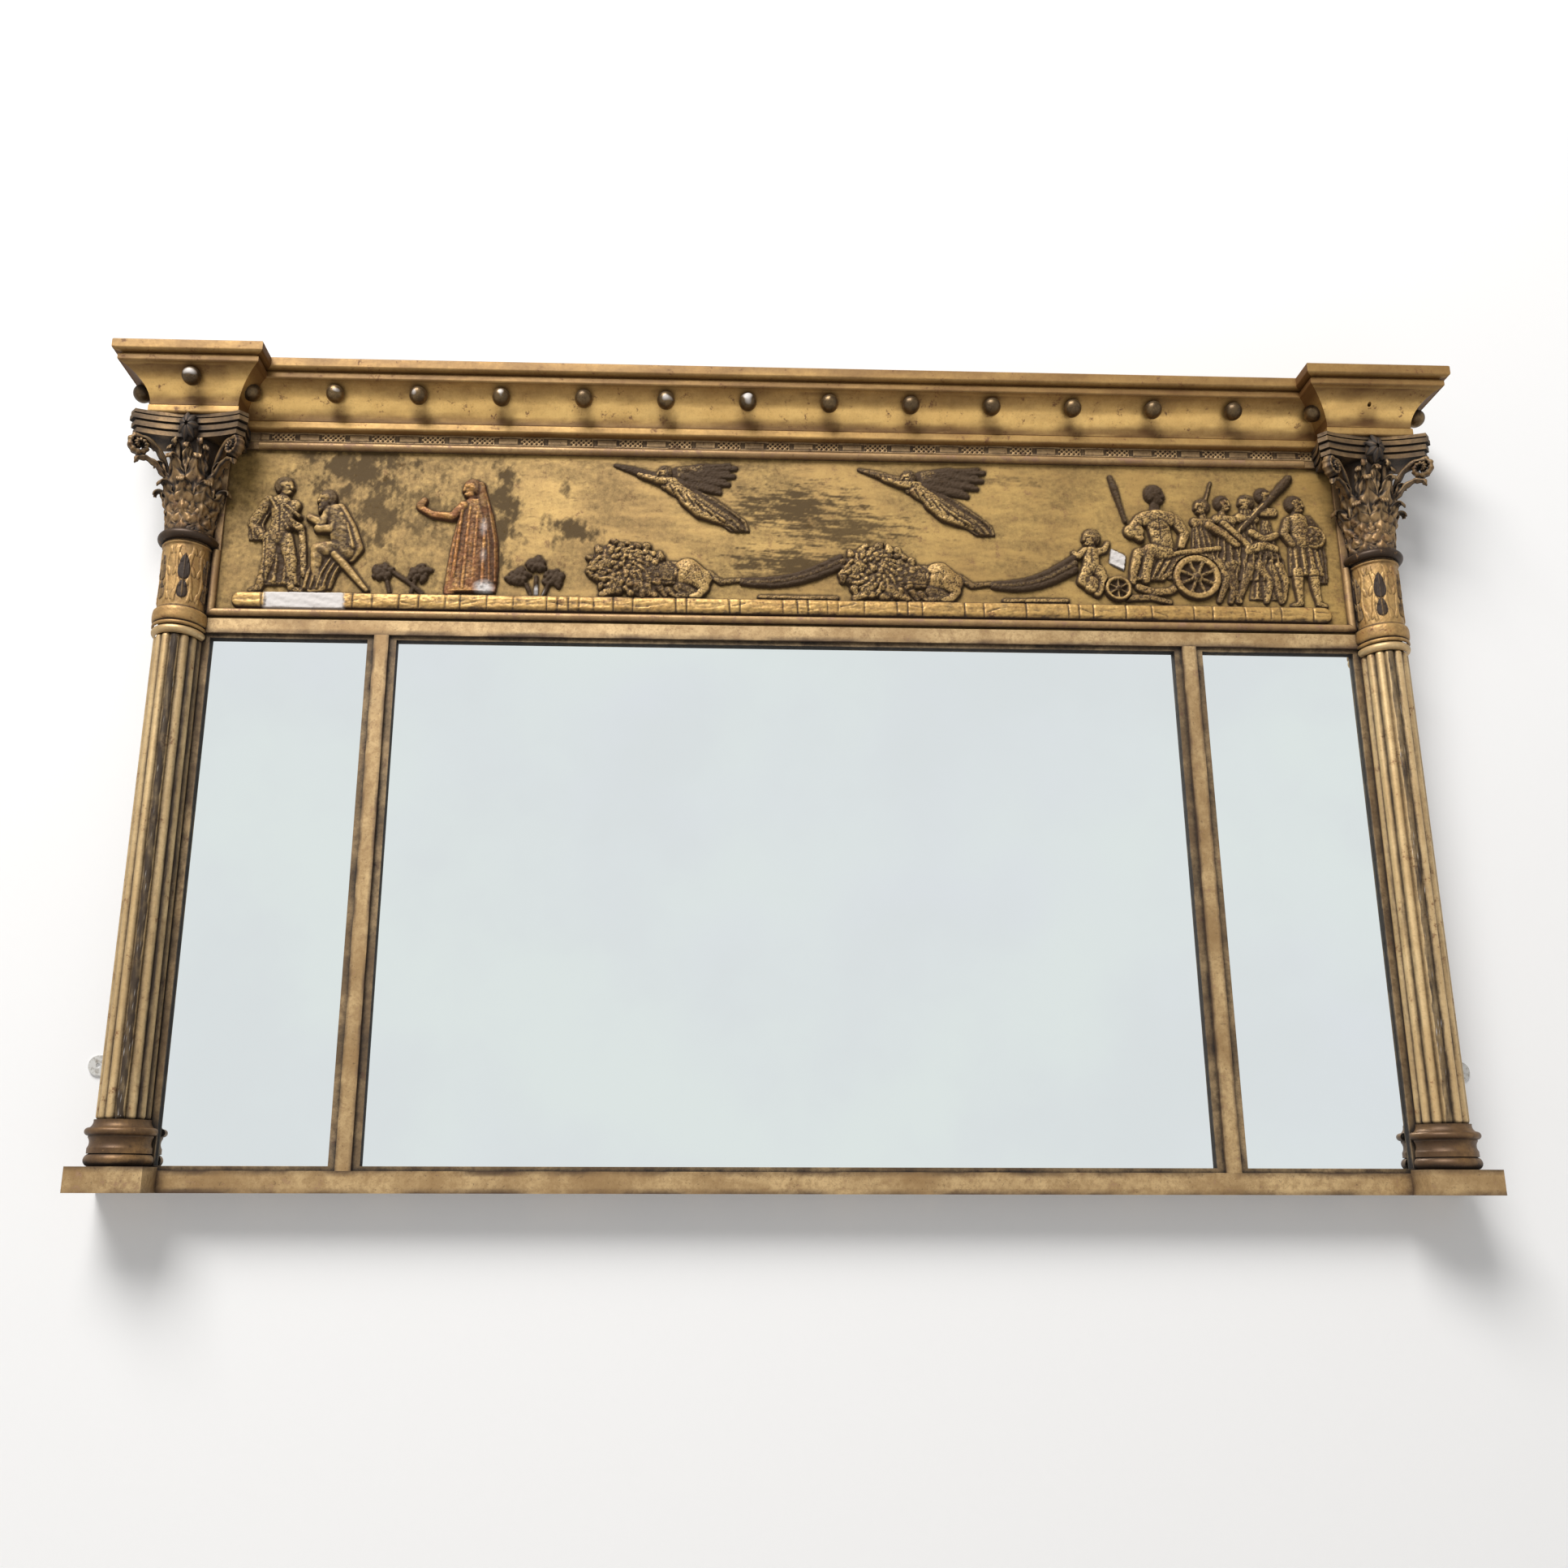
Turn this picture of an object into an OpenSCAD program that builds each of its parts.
// Regency overmantel mirror: three plates between two applied columns, under a
// figured frieze and a breakfront cornice set with balls. Gilt gesso on pine.
// Frame: x across, -y to the front, z up; the wall is the back plane.

/* [Plates and rails] */
// Clear width between the two mullions
centre_open_w = 811.5; // [600:0.5:1000]
// Clear width between a mullion and its stile
side_open_w = 172.3; // [120:0.1:260]
// Clear height between bottom rail and frieze rail
open_h = 529.5; // [420:0.5:700]
// Face width of a mullion
mullion_w = 14.7; // [12:0.1:30]
// Face width of a stile
stile_w = 45; // [40:1:60]
// Face height of the bottom rail
bottom_rail_h = 20; // [18:1:40]
// Face height of the frieze rail, up to the frieze board
frieze_rail_h = 15.5; // [14:0.5:30]
// Depth of the rails and stiles, from their face back to the wall
carcass_d = 35; // [33:1:50]

/* [Glazing] */
// Thickness of a mirror plate
glass_t = 4; // [3:0.5:6]
// Thickness of a slip, the thin gilt fillet round each plate
slip_t = 5; // [3:0.5:7]
// Slip showing at the sides of a plate
slip_side = 7.25; // [4:0.25:12]
// Slip showing above and below a plate
slip_end = 4.3; // [3:0.1:8]
// Thickness of the lip that the rails keep in front of the slips
lip_t = 3; // [2:0.5:5]
// How far that lip laps over a slip
lip_lap = 3; // [2:0.5:3.5]
// Thickness of a backboard
backboard_t = 6; // [5:0.5:8]
// How far a backboard laps onto rails and stiles
backboard_lap = 9; // [6:0.5:11]

/* [Frieze] */
// Height of the frieze board
frieze_h = 212; // [190:1:280]
// Thickness of the frieze board
frieze_t = 10; // [6:0.5:12]
// Width of the half-round fillet that frames the frieze
fillet_w = 8; // [6:0.5:12]
// How far the fillet stands off the board
fillet_reach = 6; // [4.5:0.25:8]
// Height of the leaf run over the frieze
leaf_run_h = 11; // [8:0.5:16]
// Height of the stone course that the figures stand on
course_h = 17; // [12:0.5:24]

/* [Columns] */
// Width of a plinth block
plinth_w = 69.5; // [66:0.5:90]
// Height of a plinth block
plinth_h = 23; // [18:0.5:40]
// How far a plinth block stands in front of the rails
plinth_reach = 32; // [32:0.5:50]
// Height of the moulded base on the plinth
base_h = 42; // [30:1:60]
// Radius of the reeded shaft at its foot
shaft_r = 24; // [20:0.5:26]
// How much smaller that radius is at the top
shaft_taper = 1; // [0:0.25:4]
// Reeds in a full turn of the shaft
reeds = 14; // [10:2:20]
// Height of the collar over the shaft
collar_h = 20; // [14:1:30]
// Height of the husk drum over the collar
drum_h = 73; // [50:1:110]
// Radius of the husk drum
drum_r = 23.4; // [19:0.2:26]
// Height of the dark ring under the capital
ring_h = 9.5; // [8:0.5:18]
// Height of the abacus on the capital
abacus_h = 25; // [18:0.5:32]
// How far the abacus horns reach to each side of the column's axis
horn_reach = 60; // [50:1:70]

/* [Cornice] */
// Height of the cornice
cornice_h = 65; // [50:1:90]
// How far the top of the cornice overhangs what it is fixed to
cornice_reach = 37; // [28:0.5:50]
// How far the end blocks break forward
block_break = 26; // [16:0.5:40]
// Width of an end block behind its mouldings
block_w = 77; // [66:1:100]
// Radius of a ball
ball_r = 9.35; // [6:0.05:12]
// Balls along the middle of the cornice
ball_count = 14; // [8:2:20]
// How far the middle of the last of them lies from the end block
ball_end_gap = 15; // [13:0.5:60]

/* [Fixings] */
// Width of a wall plate
wall_plate_w = 19.2; // [15:0.2:26]
// Thickness of a wall plate
wall_plate_t = 1.6; // [1:0.2:3]
// Radius of the wall screw hole
wall_hole_r = 2.25; // [1.5:0.05:3.5]
// Height of the wall screw holes
wall_hole_z = 118; // [80:1:300]
// How far the wall screw hole stands out from the stile
wall_hole_out = 22.3; // [14:0.1:40]
// Clearance wherever one piece fits inside another
fit = 0.15; // [0.05:0.05:0.3]

/* [Hidden] */

$fn = 48;
gold = [0.78, 0.62, 0.36];
bronze = [0.33, 0.25, 0.18];
pine = [0.72, 0.58, 0.4];
silver = [0.86, 0.9, 0.91];
far = 2000;   // longer than anything it cuts
eps = 0.01;

// places across the front, for the right-hand half
mullion_in = centre_open_w / 2;
mullion_out = mullion_in + mullion_w;
mullion_x = mullion_in + mullion_w / 2;
stile_in = mullion_out + side_open_w;
stile_out = stile_in + stile_w;
column_x = stile_in + stile_w / 2;

// heights
z_open = bottom_rail_h;
z_frieze_rail = z_open + open_h;
z_frieze = z_frieze_rail + frieze_rail_h;
z_cornice = z_frieze + frieze_h;
z_top = z_cornice + cornice_h;
z_lower_fillet = z_frieze + 3;
z_upper_fillet = z_cornice - leaf_run_h - fillet_w - 0.5;
z_ground = z_lower_fillet + fillet_w + 2 + course_h;

// depths: the mirror is centred between its wall plane and its cornice
y_rail = (block_break + cornice_reach - carcass_d) / 2;
y_wall = y_rail + carcass_d;
y_slip = y_rail + lip_t;
y_glass = y_slip + slip_t;
y_glass_back = y_glass + glass_t;
y_board = y_rail + lip_t;
y_board_back = y_board + frieze_t;
y_backboard = y_wall - backboard_t;
y_block = y_rail - block_break;
tenon_y = y_board_back + 2;
tenon_t = (y_wall - tenon_y) / 2;
tenon_l = stile_w * 0.55;

rail_behind = 16;     // how far the frieze rail and top rail run behind the board
frieze_housing = 5;   // how far the board's ends go into the stiles
frieze_edge = stile_in - 1.5;
mullion_tenon_l = 9;
mullion_tenon_t = 5;

module mirrored() mirror([1, 0, 0]) children();

// a box given by its lowest and highest corners
module span(low, high) translate(low) cube(high - low);

// turns a plan outline into a post between two heights
module plan(z_low, z_high, points)
  translate([0, 0, z_low]) linear_extrude(z_high - z_low) polygon(points);

// ---------------------------------------------------------------- carcass

// a tenon, or with play its mortise, on the end of a rail at the right stile
module rail_tenon(z_low, z_high, play = 0)
  span([stile_in - eps, tenon_y - play, z_low - play],
       [stile_in + tenon_l + play, tenon_y + tenon_t + play, z_high + play]);

bottom_tenon = [3, bottom_rail_h - lip_lap - 3];
frieze_tenon = [z_frieze_rail + lip_lap + 2, z_frieze + rail_behind - 3];
top_tenon = [z_cornice + 4, z_top - 12];

module both_tenons(t) {
  rail_tenon(t[0], t[1]);
  mirrored() rail_tenon(t[0], t[1]);
}

// a mullion's stub tenon, or with play its mortise
module mullion_tenon(z_low, z_high, play = 0)
  span([mullion_x - mullion_tenon_t / 2 - play, y_glass_back + 2 - play, z_low - play],
       [mullion_x + mullion_tenon_t / 2 + play, y_backboard - 3 + play, z_high + play]);

foot_tenon = [z_open - lip_lap - mullion_tenon_l, z_open - lip_lap];
head_tenon = [z_frieze_rail + lip_lap, z_frieze_rail + lip_lap + mullion_tenon_l];

module mullion_mortises(t)
  for (side = [1, -1])
    scale([side, 1, 1]) mullion_tenon(t[0], t[1], fit);

// the back rebates of all three openings: plates and slips, then backboards
module glazing_rebate() {
  span([-stile_in - lip_lap, y_slip, z_open - lip_lap],
       [stile_in + lip_lap, y_wall + eps, z_frieze_rail + lip_lap]);
  span([-stile_in - lip_lap - backboard_lap, y_backboard, z_open - lip_lap - backboard_lap],
       [stile_in + lip_lap + backboard_lap, y_wall + eps,
        z_frieze_rail + lip_lap + backboard_lap]);
}

module bottom_rail() color(gold) {
  difference() {
    union() {
      span([-stile_in, y_rail, 0], [stile_in, y_wall, bottom_rail_h]);
      both_tenons(bottom_tenon);
    }
    glazing_rebate();
    mullion_mortises(foot_tenon);
    nail_holes();
  }
}

module frieze_rail() color(gold) {
  difference() {
    union() {
      span([-stile_in, y_rail, z_frieze_rail], [stile_in, y_wall, z_frieze + rail_behind]);
      both_tenons(frieze_tenon);
    }
    glazing_rebate();
    span([-far, y_rail - eps, z_frieze], [far, y_board_back + fit, z_cornice]);
    mullion_mortises(head_tenon);
    nail_holes();
  }
}

module top_rail() color(pine) {
  difference() {
    union() {
      span([-stile_in, y_rail, z_cornice - rail_behind], [stile_in, y_wall, z_top]);
      both_tenons(top_tenon);
    }
    span([-far, y_rail - eps, z_frieze], [far, y_board_back + fit, z_cornice]);
  }
}

module right_stile() color(gold) {
  difference() {
    span([stile_in, y_rail, 0], [stile_out, y_wall, z_top]);
    glazing_rebate();
    frieze_panel(fit);
    rail_tenon(bottom_tenon[0], bottom_tenon[1], fit);
    rail_tenon(frieze_tenon[0], frieze_tenon[1], fit);
    rail_tenon(top_tenon[0], top_tenon[1], fit);
    nail_holes();
    wall_plate(fit);
    plate_screws(fit);
  }
}

module left_stile() mirrored() right_stile();

module right_mullion() color(gold) {
  span([mullion_in, y_rail, z_open], [mullion_out, y_slip, z_frieze_rail]);
  span([mullion_in + lip_lap, y_slip - eps, z_open - lip_lap],
       [mullion_out - lip_lap, y_backboard, z_frieze_rail + lip_lap]);
  mullion_tenon(foot_tenon[0], foot_tenon[1] + eps);
  mullion_tenon(head_tenon[0] - eps, head_tenon[1]);
}

module left_mullion() mirrored() right_mullion();

// the board, or with play the grooves that take its ends
module frieze_panel(play = 0)
  span([-stile_in - frieze_housing - play, y_board - play, z_frieze - play],
       [stile_in + frieze_housing + play, y_board_back + play, z_cornice + play]);

module frieze_board() color(gold) frieze_panel();

// ---------------------------------------------------------------- glazing

// one opening: its clear left and right edges
centre_open = [-mullion_in, mullion_in];
right_open = [mullion_out, stile_in];
left_open = [-stile_in, -mullion_out];
openings = [left_open, centre_open, right_open];

module pane(open, grow, y_low, y_high)
  span([open[0] - grow[0], y_low, z_open - grow[1]],
       [open[1] + grow[0], y_high, z_frieze_rail + grow[1]]);

// the four corners of an opening, grown or shrunk
function corners(open, grow) =
  let (low = z_open - grow[1], high = z_frieze_rail + grow[1],
       left = open[0] - grow[0], right = open[1] + grow[0])
    [[left, low], [right, low], [right, high], [left, high]];

// four mitred strips round a plate
module slip(open) color([0.74, 0.55, 0.42]) {
  outer = corners(open, [lip_lap - fit, lip_lap - fit]);
  inner = corners(open, [-slip_side, -slip_end]);
  for (i = [0:3])
    let (j = (i + 1) % 4)
      translate([0, y_glass, 0]) rotate([90, 0, 0]) linear_extrude(slip_t)
        polygon([outer[i], outer[j], inner[j], inner[i]]);
}

module glass(open) color(silver)
  pane(open, [lip_lap - 1, lip_lap - 1], y_glass, y_glass_back);

module left_slip() slip(left_open);
module centre_slip() slip(centre_open);
module right_slip() slip(right_open);
module left_glass() glass(left_open);
module centre_glass() glass(centre_open);
module right_glass() glass(right_open);

// three-cornered pine blocks, glued in the rebates behind the plates
block_leg = min(12, y_backboard - y_glass_back - 1);
block_l = 50;

module corner_block() linear_extrude(block_l, center = true)
  polygon([[0, 0], [block_leg, 0], [0, block_leg]]);

module glazing_blocks() color(pine)
  for (open = openings) {
    across = open[1] - open[0];
    for (share = [0.25, 0.75]) {
      x = open[0] + across * share;
      z = z_open + open_h * share;
      translate([x, y_glass_back, z_open - lip_lap]) rotate([90, 0, 90]) corner_block();
      translate([x, y_glass_back, z_frieze_rail + lip_lap])
        mirror([0, 0, 1]) rotate([90, 0, 90]) corner_block();
      translate([open[0] - lip_lap, y_glass_back, z]) corner_block();
      translate([open[1] + lip_lap, y_glass_back, z]) mirror([1, 0, 0]) corner_block();
    }
  }

// backboards meet over the middle of the mullions
board_edges = [-stile_in - lip_lap - backboard_lap, -mullion_x, mullion_x,
               stile_in + lip_lap + backboard_lap];

module backboard(i) color(pine)
  difference() {
    span([board_edges[i] + fit, y_backboard, z_open - lip_lap - backboard_lap + fit],
         [board_edges[i + 1] - fit, y_wall,
          z_frieze_rail + lip_lap + backboard_lap - fit]);
    nail_holes();
  }

module left_backboard() backboard(0);
module centre_backboard() backboard(1);
module right_backboard() backboard(2);

// nails along the upper and lower edges of the backboards
nail_r = 0.9;
nail_head_r = 2.4;
nail_head_t = 0.8;
nail_l = 20;
nail_inset = backboard_lap / 2;
nail_share = [0.04, 0.5, 0.96];
nail_at = [for (i = [0:2]) for (s = nail_share)
             for (z = [z_open - lip_lap - nail_inset, z_frieze_rail + lip_lap + nail_inset])
               [board_edges[i] + (board_edges[i + 1] - board_edges[i]) * s, z]];

// a nail, or with play the tight hole that it was driven into
module nail(play = 0)
  rotate([90, 0, 0]) {
    cylinder(h = nail_l + play, r = nail_r);
    translate([0, 0, -play]) cylinder(h = nail_head_t + play, r = nail_head_r + play);
  }

module nail_holes()
  for (at = nail_at)
    translate([at[0], y_wall, at[1]]) nail(fit);

module backboard_nails() color([0.3, 0.28, 0.26])
  for (at = nail_at)
    translate([at[0], y_wall, at[1]]) nail();

// ---------------------------------------------------------------- frieze

// half-round section, lying on the board and standing fillet_reach off it
module half_round(w)
  intersection() {
    translate([fillet_reach - w / 2, w / 2]) circle(w / 2);
    square([fillet_reach + eps, w]);
  }

module fillet_section(w) {
  square([fillet_reach - w / 2, w]);
  half_round(w);
}

// a fillet along x, its foot at height z
module fillet_along_x(z, half)
  translate([-half, y_board, z])
    mirror([0, 1, 0]) rotate([90, 0, 90]) linear_extrude(2 * half) fillet_section(fillet_w);

// the mouldings of the frieze are planed back to the stile's face behind a capital
module behind_capital()
  for (side = [1, -1])
    scale([side, 1, 1])
      span([column_x - horn_reach - 1, -far, z_ring - 1], [far, y_rail, z_top]);

module frieze_bottom_fillet() color(gold)
  intersection() {
    fillet_along_x(z_lower_fillet, frieze_edge);
    mitred_face(z_lower_fillet, 1);
  }

module frieze_top_fillet() color(gold)
  difference() {
    intersection() {
      fillet_along_x(z_upper_fillet, frieze_edge);
      mitred_face(z_upper_fillet + fillet_w, -1);
    }
    behind_capital();
  }

// a trapezium on the frieze's face, with its long side at height z
module mitred_face(z, up)
  translate([0, y_board + eps, z]) rotate([90, 0, 0])
    linear_extrude(fillet_reach + 1)
      polygon([[-frieze_edge, 0], [frieze_edge, 0],
               [frieze_edge - fillet_w, up * fillet_w],
               [-frieze_edge + fillet_w, up * fillet_w]]);

module right_side_fillet()
  intersection() {
    translate([frieze_edge - fillet_w, y_board, z_lower_fillet])
      mirror([0, 1, 0]) rotate([0, 0, 90]) mirror([0, 1, 0])
        linear_extrude(z_upper_fillet + fillet_w - z_lower_fillet)
          fillet_section(fillet_w);
    translate([0, y_board + eps, 0]) rotate([90, 0, 0]) linear_extrude(fillet_reach + 1)
      polygon([[frieze_edge, z_lower_fillet], [frieze_edge, z_upper_fillet + fillet_w],
               [frieze_edge - fillet_w, z_upper_fillet],
               [frieze_edge - fillet_w, z_lower_fillet + fillet_w]]);
  }

module frieze_side_fillets() color(gold)
  difference() {
    union() {
      right_side_fillet();
      mirrored() right_side_fillet();
    }
    behind_capital();
  }

// a pointed leaf as seen from the front, lying along x
module leaf_outline(l, w) {
  r = (l * l / 4 + w * w / 4) / w;
  intersection() {
    translate([0, r - w / 2]) circle(r);
    translate([0, w / 2 - r]) circle(r);
  }
}

// a run of small leaves that turn one way and then the other, on a flat strip
leaf_pitch = 16;
leaf_n = floor(2 * (frieze_edge - 14) / leaf_pitch);

module leaf_run() color([0.6, 0.47, 0.3])
  difference() {
    union() {
      span([-frieze_edge, y_board - 2.5, z_cornice - leaf_run_h],
           [frieze_edge, y_board, z_cornice]);
      translate([0, y_board - 2, z_cornice - leaf_run_h / 2]) rotate([90, 0, 0])
        linear_extrude(3)
          for (i = [0:leaf_n - 1])
            translate([(i - (leaf_n - 1) / 2) * leaf_pitch, 0])
              rotate(i % 2 == 0 ? 28 : -28)
                leaf_outline(leaf_pitch * 0.94, leaf_run_h * 0.5);
    }
    behind_capital();
  }

// the course of stones under the figures, with rounded ends
course_half = frieze_edge - fillet_w - 16;
course_reach = 6;
course_joint = 1.2;
stone = [46, 31, 58, 24, 39, 52];
course_z = z_ground - course_h;

function joint_x(i) =
  i == 0 ? -course_half + 30 : joint_x(i - 1) + stone[i % len(stone)];

module ground_course() color(gold)
  difference() {
    translate([0, y_board, course_z + course_h / 2]) rotate([90, 0, 0])
      linear_extrude(course_reach) {
        square([2 * course_half - course_h, course_h], center = true);
        for (side = [1, -1])
          translate([side * (course_half - course_h / 2), 0]) circle(course_h / 2);
      }
    for (i = [0:25])
      if (joint_x(i) < course_half - course_h)
        translate([joint_x(i), y_board - course_reach - eps, course_z - 1])
          cube([course_joint, 1.8, course_h + 2]);
  }

// ---- figures in low relief: u across, w up from the course, d off the board

// the figures are drawn for a field 591.25 to each side and 212 high, and follow
// the frieze that they are planted on
spread = frieze_edge / 591.25;
figure_scale = min(spread, frieze_h / 212);
relief_depth = 12;

module relief(x, z = z_ground)
  translate([x * spread, y_board, z]) rotate([90, 0, 0])
    intersection() {
      scale(figure_scale) union() children();
      translate([-far / 2, -far / 2, 0]) cube([far, far, relief_depth]);
    }

// a rounded limb that tapers between two places
module limb(a, ra, b, rb)
  hull() {
    translate(a) sphere(ra, $fn = ra > 8 ? 8 : 6);
    translate(b) sphere(rb, $fn = rb > 8 ? 8 : 6);
  }

// a bent limb through three places
module bent(a, ra, b, rb, c, rc) {
  limb(a, ra, b, rb);
  limb(b, rb, c, rc);
}

// a head on its neck
module head(at, r = 7.5) {
  limb([at[0], at[1] + 2.5, at[2]], r, [at[0], at[1] - 3, at[2]], r * 0.72);
  limb([at[0], at[1] - r, at[2] - 1], r * 0.5, [at[0] + 0.5, at[1] - r * 2.3, 3], r * 0.6);
}

module leaning_figure() {
  head([7, 118, 6]);
  limb([4, 98, 3], 11, [6, 76, 3], 10);
  limb([6, 76, 3], 10, [3, 60, 2], 11);
  bent([-9, 101, 4], 6, [-24, 74, 2], 4.5, [-12, 61, 3], 4);
  bent([18, 96, 4], 6, [8, 78, 7], 4.2, [27, 71, 6], 3.6);
  bent([-4, 58, 3], 8.5, [-2, 36, 4], 6.5, [-12, 4, 2], 4);
  bent([11, 58, 3], 8, [20, 36, 5], 6, [21, 4, 2], 4);
  limb([21, 3, 2], 3.2, [30, 2, 2], 2.6);
  limb([-12, 3, 2], 3.2, [-20, 2, 2], 2.6);
  limb([27, 70, 2], 3.5, [33, 20, 1], 3.5);
}

module seated_figure() {
  head([-10, 104, 5]);
  limb([0, 90, 3], 9, [8, 68, 2], 13);
  limb([8, 68, 2], 13, [14, 46, 1], 13);
  bent([-6, 92, 4], 4.5, [-12, 76, 6], 4, [-24, 83, 5], 3.4);
  bent([6, 84, 5], 4.5, [0, 70, 7], 4, [-14, 70, 7], 3.4);
  limb([6, 50, 4], 9, [-14, 46, 5], 8);
  bent([8, 42, 4], 7, [20, 24, 3], 4.8, [36, 4, 1.5], 3.6);
  bent([-14, 46, 4], 7, [-15, 28, 3], 5, [-8, 6, 1.5], 3.8);
  limb([-2, 36, 2], 9, [4, 12, 1], 8);
}

module robed_figure() {
  head([-4, 120, 6]);
  limb([-8, 101, 2], 8, [8, 99, 2], 8);
  hull() {
    translate([0, 98, 1]) sphere(12, $fn = 8);
    translate([-17, 6, 0]) sphere(8, $fn = 8);
    translate([20, 6, 0]) sphere(8, $fn = 8);
  }
  for (fold = [-17, -6, 7, 19])
    limb([fold * 0.3, 88, 8], 2.4, [fold, 6, 5], 3.4);
  bent([-14, 100, 4], 5, [-34, 90, 4], 4, [-56, 104, 3], 3);
  limb([-56, 104, 2], 3, [-54, 112, 2], 2.5);
}

module flying_figure() {
  limb([-63, 47, 1], 2.4, [-20, 33, 4], 6);
  head([-11, 36, 6], 6.5);
  limb([-1, 22, 4], 8, [17, 10, 4], 8.5);
  bent([0, 28, 5], 4.2, [-16, 28, 6], 3.6, [-30, 36, 4], 3);
  bent([17, 10, 5], 7.5, [27, -7, 5], 5.5, [60, -20, 2], 3.4);
  bent([20, 12, 2], 8, [44, 0, 1], 8, [68, -16, 1], 5);
  limb([60, -20, 2], 3.4, [72, -24, 1], 2.6);
  for (feather = [0:3])
    limb([6, 34 - feather * 4, 3], 4.5, [58 - feather * 5, 46 - feather * 9, 1], 3);
}

module lion() {
  limb([-46, 38, 2], 25, [-20, 30, 2], 22);
  limb([-62, 40, 7], 10, [-74, 32, 7], 6);
  limb([-56, 52, 6], 3, [-54, 57, 6], 2);
  for (lock = [0:4])
    let (a = 75 + lock * 48)
      limb([-46 + 17 * cos(a), 35 + 17 * sin(a), 8], 4.5,
           [-42 + 27 * cos(a - 18), 33 + 25 * sin(a - 18), 3], 3);
  limb([-20, 28, 2], 15, [28, 30, 2], 13);
  limb([28, 28, 3], 15, [40, 22, 2], 11);
  bent([34, 22, 5], 9, [44, 12, 4], 5, [40, 4, 3], 3.6);
  bent([-46, 14, 5], 7, [-52, 8, 4], 5, [-58, 3, 3], 3.6);
  bent([-26, 12, 5], 7, [-20, 8, 4], 4.5, [-12, 3, 3], 3.4);
  bent([46, 26, 2], 4, [66, 24, 1.5], 3, [82, 22, 1], 2.4);
}

module relief_left_pair() color(gold) {
  relief(-530) leaning_figure();
  relief(-470) seated_figure();
}

module relief_robed_figure() color([0.7, 0.42, 0.25]) relief(-327) robed_figure();

flying_z = z_ground + (z_upper_fillet - z_ground) * 0.645;

module relief_flying_pair() color(gold)
  for (x = [-120, 138])
    relief(x, flying_z) flying_figure();

// each lion draws on a rope of leaves that dips before it climbs again
lion_x = [-130, 131];
chariot_x = 428;
tail_end = [82, 22];
neck = [-70, 43];
rope_end = [-130, 46];
rope_steps = 4;
rope_r = 3.6;

// the place of a point on a figure, measured from the middle of the frieze
function on_figure(x, at) = [x * spread / figure_scale + at[0], at[1], 2];

function rope_at(from, to, t) = from + (to - from) * t - [0, 8 * sin(180 * t), 0];

module rope(from, to)
  for (i = [0:rope_steps - 1])
    limb(rope_at(from, to, i / rope_steps), rope_r,
         rope_at(from, to, (i + 1) / rope_steps), rope_r);

module relief_lions() color(gold) {
  for (x = lion_x)
    relief(x) lion();
  relief(0) {
    rope(on_figure(lion_x[0], tail_end), on_figure(lion_x[1], neck));
    rope(on_figure(lion_x[1], tail_end), on_figure(chariot_x, rope_end));
  }
}

// a wheel: rim, thin disc, hub and spokes
module wheel(at, r, spokes) translate([at[0], at[1], 0]) {
  difference() {
    cylinder(h = 7, r = r, $fn = 20);
    translate([0, 0, -1]) cylinder(h = 9, r = r * 0.78, $fn = 20);
  }
  cylinder(h = 7, r = r * 0.26, $fn = 12);
  cylinder(h = 3, r = r * 0.8, $fn = 12);
  for (i = [0:spokes - 1])
    rotate(i * 360 / spokes) translate([r * 0.2, -r * 0.07, 0]) cube([r * 0.62, r * 0.14, 5.5]);
}

big_wheel = [0, 28];
small_wheel = [-84, 18];

module relief_chariot() color(gold)
  relief(chariot_x) {
    wheel(big_wheel, 25, 8);
    wheel(small_wheel, 14, 6);
    bent([-64, 16, 1], 5, [-44, 14, 2], 5, [-20, 30, 2], 4);
    bent([-76, 30, 1], 4, [-48, 28, 2], 5, [-22, 46, 2], 4);
    limb([-32, 58, 2], 5, [22, 62, 2], 6);
    limb([-28, 40, 0], 12, [14, 44, 0], 12);
    limb([-62, 22, 1], 6, [-24, 20, 1], 6);
    head([-110, 74, 5], 7.5);
    limb([-110, 58, 3], 8, [-111, 40, 3], 9);
    bent([-115, 36, 3], 7, [-122, 26, 5], 6, [-108, 18, 3], 4.5);
    bent([-104, 36, 3], 7, [-98, 26, 4], 5.5, [-106, 14, 3], 4);
    bent([-116, 60, 4], 4, [-124, 54, 4], 3.4, [-128, 58, 3], 3);
    limb([-102, 60, 4], 4, [-92, 66, 3], 3);
    riders();
  }

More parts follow.
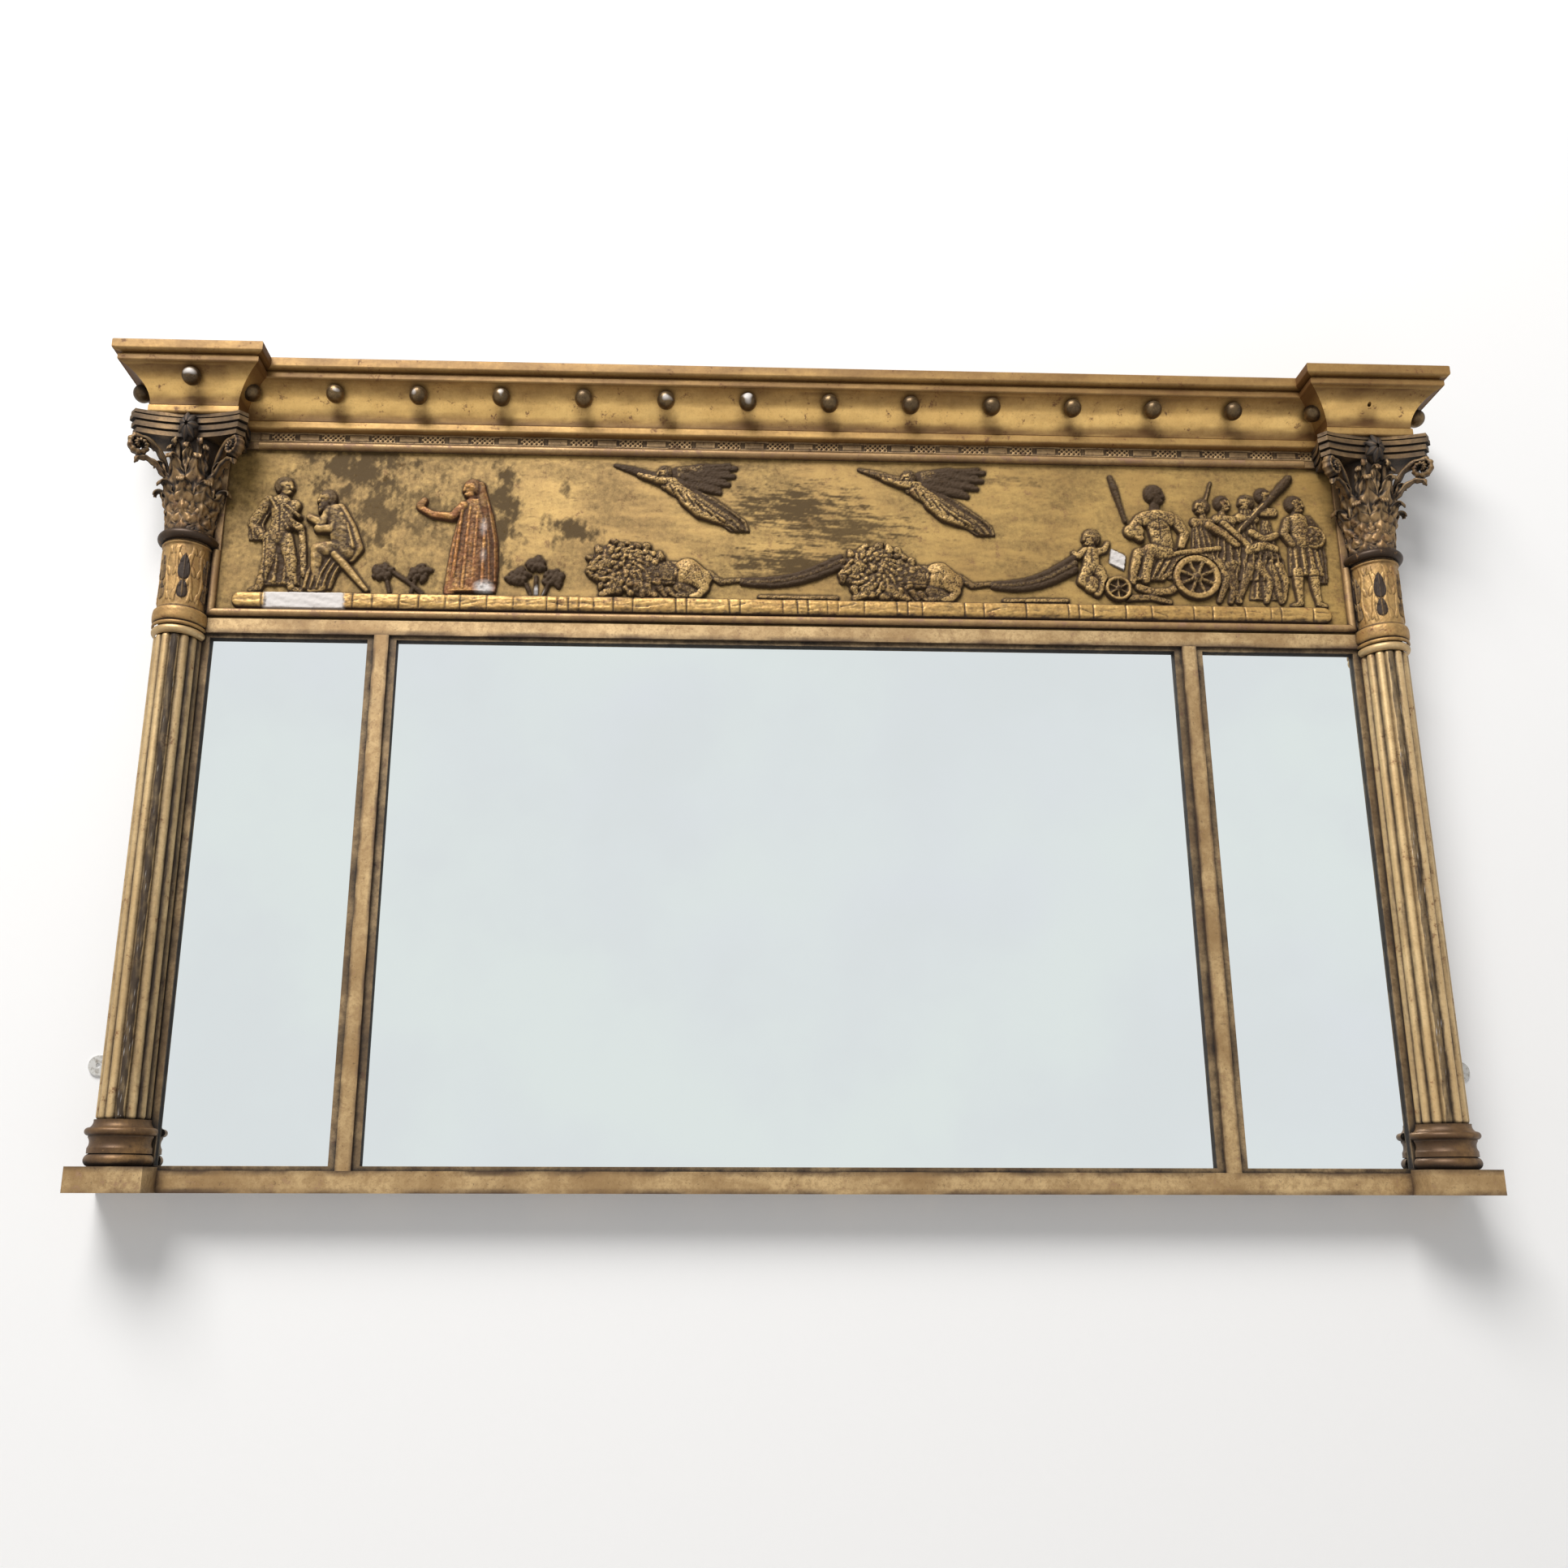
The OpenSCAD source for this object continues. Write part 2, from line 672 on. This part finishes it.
module riders() {
  head([-37, 126, 5], 8.5);
  limb([-50, 98, 3], 10, [-24, 98, 3], 10);
  limb([-37, 92, 3], 12, [-30, 66, 2], 13);
  bent([-56, 98, 4], 6, [-66, 86, 5], 5, [-56, 76, 5], 4);
  bent([-18, 98, 4], 6, [-8, 80, 4], 5, [-14, 66, 4], 4);
  bent([-38, 62, 5], 8, [-54, 64, 6], 6, [-62, 32, 3], 4);
  limb([-84, 148, 1], 1.8, [-72, 90, 3], 1.8);
  for (i = [0:3])
    head([11 + i * 23, 113 + i * 3, 4 - i * 0.4], 7);
  for (i = [0:3])
    limb([10 + i * 22, 94, 2], 9, [18 + i * 20, 66, 1], 11);
  limb([19, 88, 6], 4, [44, 72, 5], 4);
  limb([34, 92, 5], 3.6, [58, 70, 6], 3.6);
  limb([64, 74, 5], 4.4, [86, 80, 5], 3.6);
  limb([54, 92, 3], 3, [109, 150, 2], 4.4);
  limb([28, 46, 1], 9, [48, 20, 1], 8);
  limb([58, 50, 1], 10, [80, 46, 1], 8);
  bent([58, 46, 3], 6, [50, 26, 3], 4.4, [42, 6, 2], 3.4);
  bent([80, 44, 3], 6, [84, 24, 3], 4.4, [86, 6, 2], 3.4);
}

module relief_shield_bearer() color(gold)
  relief(541) {
    head([0, 117, 5], 8);
    limb([0, 98, 3], 11, [3, 74, 2], 12);
    limb([-1, 70, 2], 11, [-5, 10, 1], 10);
    limb([9, 70, 2], 10, [15, 10, 1], 9);
    for (fold = [-10, 2, 14])
      limb([4 + fold * 0.6, 66, 7], 2.2, [6 + fold, 8, 5], 2.8);
    translate([15, 80, 4]) cylinder(h = 5, r = 15, $fn = 20);
    translate([15, 80, 8]) cylinder(h = 3, r = 5, $fn = 12);
    bent([-10, 98, 4], 4.5, [-12, 84, 4], 4, [-7, 74, 4], 3.4);
  }

// clumps of three-lobed leaves on short stalks
module leaf_clump(x, lean, h)
  relief(x) {
    limb([0, 2, 1], 2, [lean * 0.4, h * 0.5, 1.5], 1.8);
    for (a = [-32, 2, 34])
      limb([lean * 0.4, h * 0.5, 2], 3.4,
           [lean + h * 0.45 * sin(a), h * 0.62 + h * 0.3 * cos(a), 2], 4.6);
  }

module relief_foliage() color([0.4, 0.3, 0.2]) {
  leaf_clump(-406, -6, 32);
  leaf_clump(-388, 5, 38);
  leaf_clump(-264, -9, 42);
  leaf_clump(-257, 9, 36);
}

// ---------------------------------------------------------------- columns

// keeps the half of a turned piece that stands in front of the stile
module front_half()
  intersection() {
    translate([column_x, y_rail, 0]) children();
    span([column_x - 100, y_rail - 100, 0], [column_x + 100, y_rail, z_top]);
  }

z_base = plinth_h;
z_shaft = z_base + base_h;
z_collar = z_frieze_rail - 1.5;
z_drum = z_collar + collar_h;
z_ring = z_drum + drum_h;
z_bell = z_ring + ring_h;
z_abacus = z_cornice - abacus_h;
bell_h = z_abacus - z_bell;
peg_r = 8;
peg_l = 9;

// plinth block, notched over the foot of the stile and the end of the rail
module right_plinth() color(gold)
  difference() {
    span([column_x - plinth_w / 2, y_rail - plinth_reach, 0],
         [column_x + plinth_w / 2, y_wall, plinth_h]);
    span([0, y_rail, -1], [stile_out + fit, y_wall + 1, plinth_h + 1]);
    translate([0, 0, z_base - peg_l - fit]) front_peg(fit);
  }

// half-round pegs between the stacked pieces of a column
module front_peg(play = 0)
  translate([column_x, y_rail - peg_r - 2, 0]) cylinder(h = peg_l + 2 * play, r = peg_r / 2 + play);

module torus_nose(r, h) {
  square([r - h / 2, h]);
  translate([r - h / 2, h / 2]) circle(h / 2);
}

// lower torus, a band with a shallow hollow, a bead and a cove up to the shaft
base_torus = base_h * 0.28;
base_band = base_h * 0.38;
base_bead = base_h * 0.17;
base_neck = base_h - base_torus - base_band - base_bead;
band_hollow_h = base_band * 0.6;
band_hollow_d = 1.5;
band_hollow_r = (pow(band_hollow_h / 2, 2) + pow(band_hollow_d, 2)) / (2 * band_hollow_d);

module right_base() color(bronze)
  difference() {
    union() {
      front_half() translate([0, 0, z_base]) rotate_extrude() {
        torus_nose(shaft_r + 6.5, base_torus);
        translate([0, base_torus])
          difference() {
            square([shaft_r + 4.5, base_band]);
            translate([shaft_r + 4.5 - band_hollow_d + band_hollow_r, base_band * 0.6])
              circle(band_hollow_r);
          }
        translate([0, base_torus + base_band]) torus_nose(shaft_r + 8, base_bead);
        translate([0, base_h - base_neck])
          difference() {
            square([shaft_r + 5, base_neck]);
            translate([shaft_r + 1.2 + base_neck, base_neck * 0.8]) circle(base_neck);
          }
      }
      translate([0, 0, z_base - peg_l]) front_peg();
    }
    translate([0, 0, z_shaft - peg_l - fit]) front_peg(fit);
  }

// reeds stand side by side round a plain core and lean with the taper, from the base
// into the bead at the top; the last on each side is cut in half by the stile's face
shaft_l = z_collar - z_shaft;
shaft_cap = 8.5;
reed_share = sin(180 / reeds);
reed_crowding = 1.05;
reed_r = reed_crowding * shaft_r * reed_share / (1 + reed_share);
reed_ring_r = shaft_r - reed_r;
core_r = reed_ring_r * cos(180 / reeds);
reed_l = shaft_l - shaft_cap + 2;
taper_turn = atan(shaft_taper / reed_l);
reed_foot = 0.02;   // keeps a leaning reed's foot off the base

module reed()
  translate([reed_ring_r, 0, reed_foot]) rotate([0, -taper_turn, 0])
    cylinder(h = reed_l, r = reed_r);

module right_shaft() color(gold)
  difference() {
    union() {
      front_half() translate([0, 0, z_shaft]) {
        cylinder(h = reed_l, r1 = core_r, r2 = core_r - shaft_taper);
        for (i = [0:reeds / 2])
          rotate(180 + i * 360 / reeds) reed();
      }
      front_half() translate([0, 0, z_collar - shaft_cap]) rotate_extrude()
        torus_nose(shaft_r + 2, shaft_cap);
      translate([0, 0, z_shaft - peg_l]) front_peg();
    }
    translate([0, 0, z_collar - peg_l - fit]) front_peg(fit);
  }

// pairs of pointed husks, a long one over a short one, round the drum
husk_t = 1.6;
husk_turns = [-64, -13, 38];

module husk(turn, z, l, w)
  rotate(-90 + turn) translate([drum_r - 2, 0, z]) rotate([90, 0, 90])
    linear_extrude(2 + husk_t) rotate(90) leaf_outline(l, w);

module right_drum() color(gold)
  difference() {
    union() {
      front_half() {
        translate([0, 0, z_collar]) rotate_extrude() {
          square([drum_r + 1.3, collar_h]);
          translate([0, 2]) square([drum_r + 3.3, collar_h - 4]);
          for (z = [2, collar_h - 2])
            translate([drum_r + 1.3, z]) circle(2);
        }
        translate([0, 0, z_drum]) rotate_extrude() {
          square([drum_r, drum_h]);
          translate([0, drum_h - 5]) torus_nose(drum_r + 1.6, 3.2);
        }
        for (turn = husk_turns) {
          husk(turn, z_drum + drum_h * 0.62, drum_h * 0.42, 9.5);
          husk(turn, z_drum + drum_h * 0.27, drum_h * 0.27, 6.5);
        }
      }
      translate([0, 0, z_collar - peg_l]) front_peg();
    }
    translate([0, 0, z_ring - peg_l - fit]) front_peg(fit);
  }

module right_neck_ring() color(bronze)
  difference() {
    union() {
      front_half() translate([0, 0, z_ring]) rotate_extrude()
        torus_nose(drum_r + 6.6, ring_h);
      translate([0, 0, z_ring - peg_l]) front_peg();
    }
    translate([0, 0, z_bell - peg_l - fit]) front_peg(fit);
  }

// the turned core of the capital, flaring to a lip under the abacus
bell_foot_r = 21.5;
bell_lip_r = 27;
bell_lip_h = 7;
bell_flare = bell_lip_r - bell_foot_r;
bell_rise = bell_h * 0.5 - bell_lip_h;
bell_flare_r = (bell_flare * bell_flare + bell_rise * bell_rise) / (2 * bell_flare);

module bell_section(grow = 0) {
  difference() {
    square([bell_lip_r + grow, bell_h]);
    translate([bell_foot_r + grow + bell_flare_r, bell_h * 0.5]) circle(bell_flare_r);
    translate([bell_foot_r + grow, 0]) square([far, bell_h * 0.5]);
  }
}

module right_capital_bell() color(bronze)
  union() {
    front_half() translate([0, 0, z_bell]) rotate_extrude() bell_section();
    translate([0, 0, z_bell - peg_l]) front_peg();
  }

// one rib of a leaf: its middle stands proud, and its edges follow the bell
module leaf_rib(r, z, half_w, bulge) {
  edge = half_w / r * 57.3;
  for (turn = [-edge, 0, edge])
    rotate(turn) translate([r + (turn == 0 ? bulge : 0), 0, z])
      cube([2, 1.6, 1.6], center = true);
}

// a leaf that climbs the bell, with lobed edges and a tip that rolls over
module acanthus(h, w, out) {
  ribs = [[bell_foot_r + 1, 0, 0.8, 2], [bell_foot_r + 2, h * 0.24, 1, 3],
          [bell_foot_r + 3, h * 0.38, 0.74, 4], [bell_foot_r + 4.5, h * 0.6, 0.98, 4.5],
          [bell_foot_r + out * 0.55, h * 0.84, 0.64, 4],
          [bell_foot_r + out * 0.9, h * 0.97, 0.56, 3],
          [bell_foot_r + out + 4, h * 0.93, 0.3, 1]];
  for (i = [0:len(ribs) - 2])
    hull() {
      leaf_rib(ribs[i][0], ribs[i][1], w * ribs[i][2] / 2, ribs[i][3]);
      leaf_rib(ribs[i + 1][0], ribs[i + 1][1], w * ribs[i + 1][2] / 2, ribs[i + 1][3]);
    }
}

// a scroll under each horn of the abacus, on a stalk that leaves the bell
horn_front = 40;
horn_turn = atan(horn_front / horn_reach);
horn_out = norm([horn_reach, horn_front]) - 15;
scroll_r = 11;
scroll_w = 13;

module stalk(out, w)
  for (i = [0:4]) {
    t = i / 5;
    u = (i + 1) / 5;
    hull() {
      for (s = [t, u])
        translate([bell_foot_r + 4 + (out - bell_foot_r - 4) * pow(s, 1.7),
                   0, bell_h * 0.52 + (bell_h * 0.48 - 3) * sin(90 * s)])
          cube([4, w, 4], center = true);
    }
  }

module volute() {
  stalk(horn_out - 2, scroll_w * 0.7);
  translate([horn_out - scroll_r * 0.2, 0, bell_h - scroll_r + 1]) rotate([90, 0, 0]) {
    cylinder(h = scroll_w, r = scroll_r, center = true, $fn = 16);
    translate([0.6, 0, 0])
      cylinder(h = scroll_w + 3, r = scroll_r * 0.66, center = true, $fn = 10);
    translate([1, 0, 0])
      cylinder(h = scroll_w + 6, r = scroll_r * 0.33, center = true, $fn = 8);
  }
}

module right_capital_leaves() color(gold)
  translate([column_x, y_rail, z_bell])
    intersection() {
      difference() {
        union() {
          for (turn = [-90:45:90])
            rotate(-90 + turn) acanthus(bell_h * 0.5, 21, 12);
          for (turn = [-67.5:45:67.5])
            rotate(-90 + turn) translate([0, 0, bell_h * 0.08])
              acanthus(bell_h * 0.66, 19, 14);
          for (side = [-1, 1])
            rotate(-90 + side * (90 - horn_turn)) volute();
          for (side = [-1, 1])
            rotate(-90 + side * 20) stalk(bell_lip_r + 1, 6);
        }
        rotate_extrude() bell_section(fit);
        translate([0, 0, bell_h]) flower_bud(fit);
      }
      translate([-100, -100, 0]) cube([200, 100, bell_h]);
    }

// abacus: hollow-sided, with cut horns and reeded edges, and a hanging bud in front
horn_cut = 7;
abacus_sag = 9;

module abacus_layer(z, h, inset) {
  x = horn_reach - inset;
  f = horn_front - inset;
  front_half_w = x - horn_cut;
  front_r = (front_half_w * front_half_w + abacus_sag * abacus_sag) / (2 * abacus_sag);
  side_half_w = f - horn_cut;
  side_r = (side_half_w * side_half_w + abacus_sag * abacus_sag) / (2 * abacus_sag);
  translate([0, 0, z])
    difference() {
      linear_extrude(h)
        polygon([[-x, 0], [-x, -side_half_w], [-front_half_w, -f],
                 [front_half_w, -f], [x, -side_half_w], [x, 0]]);
      translate([0, -f + abacus_sag - front_r, -1]) cylinder(h = h + 2, r = front_r, $fn = 96);
      for (side = [1, -1])
        translate([side * (x - abacus_sag + side_r), 0, -1])
          cylinder(h = h + 2, r = side_r, $fn = 96);
    }
}

abacus_steps = [[0, 0.2, 3], [0.2, 0.08, 5], [0.28, 0.22, 1.5], [0.5, 0.08, 3.5],
                [0.58, 0.2, 0], [0.78, 0.07, 2.5], [0.85, 0.15, 0.5]];

// a long bud, pointed at both ends, that hangs below the abacus into the leaves
bud_r = 9;
bud_drop = 7;
bud_half = (abacus_h + bud_drop) / 2;
bud_arc_r = (bud_r * bud_r + bud_half * bud_half) / (2 * bud_r);

module flower_bud(grow = 0)
  translate([0, abacus_sag - horn_front + 3, bud_half - bud_drop]) rotate_extrude()
    intersection() {
      translate([bud_r - bud_arc_r, 0]) circle(bud_arc_r + grow);
      translate([0, -bud_half - 1]) square([bud_r + grow, 2 * bud_half + 2]);
    }

module right_abacus() color(gold)
  translate([column_x, y_rail, z_abacus]) {
    for (s = abacus_steps)
      abacus_layer(s[0] * abacus_h, s[1] * abacus_h, s[2]);
    flower_bud();
  }

module left_plinth() mirrored() right_plinth();
module left_base() mirrored() right_base();
module left_shaft() mirrored() right_shaft();
module left_drum() mirrored() right_drum();
module left_neck_ring() mirrored() right_neck_ring();
module left_capital_bell() mirrored() right_capital_bell();
module left_capital_leaves() mirrored() right_capital_leaves();
module left_abacus() mirrored() right_abacus();

// ---------------------------------------------------------------- cornice

// places in the section, up from its foot
foot_fillet_h = cornice_h * 0.15;
cove_top = cornice_h * 0.66;
mid_fillet_h = cornice_h * 0.12;
quirk_h = cornice_h * 0.03;
cove_in = cornice_reach * 0.17;
cove_out = cornice_reach * 0.8;
cove_rise = cove_top - foot_fillet_h;
cove_run = cove_out - cove_in;
cove_r = (cove_run * cove_run + cove_rise * cove_rise) / (2 * cove_run);

module eased_fillet(reach, h, r) {
  square([reach - r, h]);
  translate([0, r]) square([reach, h - 2 * r]);
  for (z = [r, h - r])
    translate([reach - r, z]) circle(r);
}

// lower fillet, hollow, second fillet, quirk and top fillet
module cornice_section() {
  eased_fillet(cornice_reach * 0.2, foot_fillet_h, 2.4);
  translate([0, foot_fillet_h - eps])
    difference() {
      square([cove_out, cove_rise + 2 * eps]);
      translate([cove_in + cove_r, 0]) circle(cove_r);
    }
  translate([0, cove_top]) eased_fillet(cornice_reach * 0.87, mid_fillet_h, 2);
  translate([0, cove_top + mid_fillet_h - eps])
    square([cornice_reach * 0.8, quirk_h + 2 * eps]);
  translate([0, cove_top + mid_fillet_h + quirk_h])
    eased_fillet(cornice_reach, cornice_h - cove_top - mid_fillet_h - quirk_h, 2.6);
}

block_in = column_x - 2.75 - block_w / 2;
block_out = block_in + block_w;

module run_along_x(y, x_low, x_high)
  translate([x_low, y, z_cornice])
    mirror([0, 1, 0]) rotate([90, 0, 90]) linear_extrude(x_high - x_low) cornice_section();

module run_along_y(x, y_low, y_high)
  translate([x, y_high, z_cornice])
    rotate([90, 0, 0]) linear_extrude(y_high - y_low) cornice_section();

module cornice_centre() color(gold)
  difference() {
    intersection() {
      run_along_x(y_rail, -block_in, block_in);
      plan(z_cornice, z_top,
           [[-block_in, y_rail], [block_in, y_rail],
            [block_in - cornice_reach, y_rail - cornice_reach],
            [cornice_reach - block_in, y_rail - cornice_reach]]);
    }
    for (x = centre_ball_x)
      centre_ball_peg(x, fit);
  }

module right_cornice_front() color(gold)
  difference() {
    intersection() {
      run_along_x(y_block, block_in - cornice_reach, block_out + cornice_reach);
      plan(z_cornice, z_top,
           [[block_in, y_block], [block_out, y_block],
            [block_out + cornice_reach, y_block - cornice_reach],
            [block_in - cornice_reach, y_block - cornice_reach]]);
    }
    translate([block_ball_x, y_block, 0]) ball_peg(fit);
  }

module right_cornice_inner_return() color(gold)
  difference() {
    intersection() {
      mirror([1, 0, 0]) run_along_y(-block_in, y_block - cornice_reach, y_rail);
      plan(z_cornice, z_top,
           [[block_in, y_rail], [block_in, y_block],
            [block_in - cornice_reach, y_block - cornice_reach],
            [block_in - cornice_reach, y_rail - cornice_reach]]);
    }
    centre_ball_peg(block_in - ball_end_gap, fit);
  }

module right_cornice_outer_return() color(gold)
  difference() {
    intersection() {
      run_along_y(block_out, y_block - cornice_reach, y_wall);
      plan(z_cornice, z_top,
           [[block_out, y_block], [block_out + cornice_reach, y_block - cornice_reach],
            [block_out + cornice_reach, y_wall], [block_out, y_wall]]);
    }
    translate([block_out, side_ball_y, 0]) rotate(90) ball_peg(fit);
  }

// pine block behind the end mouldings, notched over the head of the stile
module right_cornice_block() color(pine)
  difference() {
    span([block_in, y_block, z_cornice], [block_out, y_wall, z_top]);
    span([0, y_rail, z_cornice - 1], [stile_out + fit, y_wall + 1, z_top + 1]);
  }

module left_cornice_front() mirrored() right_cornice_front();
module left_cornice_inner_return() mirrored() right_cornice_inner_return();
module left_cornice_outer_return() mirrored() right_cornice_outer_return();
module left_cornice_block() mirrored() right_cornice_block();

// balls, each turned with a peg and seated in the hollow of the cornice
ball_z = z_cornice + cornice_h * 0.49;
ball_out = cornice_reach * 0.61;
ball_peg_r = 2;
ball_pitch = 2 * (block_in - ball_end_gap) / (ball_count - 1);
centre_ball_x = [for (i = [0:ball_count - 1]) (i - (ball_count - 1) / 2) * ball_pitch];
block_ball_x = column_x - 4;
side_ball_y = y_rail - 16;

// the peg runs back from the middle of the ball; its hole is tight, and deeper by play
module ball_peg(play = 0)
  translate([0, -ball_out, ball_z]) rotate([-90, 0, 0])
    cylinder(h = ball_out - 3 + play, r = ball_peg_r);

module centre_ball_peg(x, play = 0) translate([x, y_rail, 0]) ball_peg(play);

// the round hollow in front of a cornice face, which trims a ball to its seat
module hollow(l)
  translate([-l / 2, -(cove_in + cove_r), z_cornice + foot_fillet_h])
    rotate([0, 90, 0]) cylinder(h = l, r = cove_r);

module round_ball() translate([0, -ball_out, ball_z]) sphere(ball_r);

module ball() {
  intersection() {
    round_ball();
    hollow(4 * ball_r);
  }
  ball_peg();
}

// the last ball of the row is trimmed to the hollow of the inner return as well
module end_ball(x) {
  intersection() {
    translate([x, y_rail, 0]) round_ball();
    translate([x, y_rail, 0]) hollow(4 * ball_r);
    translate([block_in, y_rail - ball_out, 0]) rotate(-90) hollow(4 * ball_r);
  }
  translate([x, y_rail, 0]) ball_peg();
}

module cornice_balls() color([0.5, 0.42, 0.3]) {
  for (x = centre_ball_x)
    if (abs(x) < block_in - cornice_reach)
      translate([x, y_rail, 0]) ball();
  end_ball(block_in - ball_end_gap);
  mirrored() end_ball(block_in - ball_end_gap);
  translate([-block_ball_x, y_block, 0]) ball();
  translate([block_out, side_ball_y, 0]) rotate(90) ball();
  mirrored() translate([block_out, side_ball_y, 0]) rotate(90) ball();
}

// ---------------------------------------------------------------- wall fixings

plate_l_in = 24;
plate_screw_r = 1.9;
plate_screw_head_r = 3.4;
plate_screw_l = 20;
plate_screw_x = [stile_out - 18, stile_out - 7];
wall_hole_x = stile_out + wall_hole_out;

// a flat plate let into the back of the stile, with one round end for the wall screw
module wall_plate(play = 0)
  translate([0, y_wall + play, wall_hole_z]) rotate([90, 0, 0])
    linear_extrude(wall_plate_t + play) {
      translate([stile_out - plate_l_in - play, -wall_plate_w / 2 - play])
        square([plate_l_in + wall_hole_out + play, wall_plate_w + 2 * play]);
      translate([wall_hole_x, 0]) circle(wall_plate_w / 2);
    }

// a countersunk screw, or with play its tight hole
module plate_screw(play = 0)
  rotate([90, 0, 0]) {
    cylinder(h = plate_screw_l + play, r = plate_screw_r);
    cylinder(h = wall_plate_t, r1 = plate_screw_head_r, r2 = plate_screw_r);
  }

module plate_screws(play = 0)
  for (x = plate_screw_x)
    translate([x, y_wall, wall_hole_z]) plate_screw(play);

module right_wall_plate()
  difference() {
    wall_plate();
    plate_screws(fit);
    translate([wall_hole_x, y_wall + 1, wall_hole_z]) rotate([90, 0, 0])
      cylinder(h = wall_plate_t + 2, r = wall_hole_r);
  }

module wall_plates() color([0.8, 0.8, 0.78]) {
  right_wall_plate();
  mirrored() right_wall_plate();
}

module wall_plate_screws() color([0.6, 0.58, 0.52]) {
  plate_screws();
  mirrored() plate_screws();
}

// ---------------------------------------------------------------- nodes

bottom_rail();
frieze_rail();
top_rail();
left_stile();
right_stile();
left_mullion();
right_mullion();
frieze_board();
left_slip();
centre_slip();
right_slip();
left_glass();
centre_glass();
right_glass();
glazing_blocks();
left_backboard();
centre_backboard();
right_backboard();
backboard_nails();
frieze_top_fillet();
frieze_bottom_fillet();
frieze_side_fillets();
leaf_run();
ground_course();
relief_left_pair();
relief_robed_figure();
relief_flying_pair();
relief_lions();
relief_chariot();
relief_shield_bearer();
relief_foliage();
left_plinth();
left_base();
left_shaft();
left_drum();
left_neck_ring();
left_capital_bell();
left_capital_leaves();
left_abacus();
right_plinth();
right_base();
right_shaft();
right_drum();
right_neck_ring();
right_capital_bell();
right_capital_leaves();
right_abacus();
cornice_centre();
left_cornice_front();
left_cornice_inner_return();
left_cornice_outer_return();
left_cornice_block();
right_cornice_front();
right_cornice_inner_return();
right_cornice_outer_return();
right_cornice_block();
cornice_balls();
wall_plates();
wall_plate_screws();
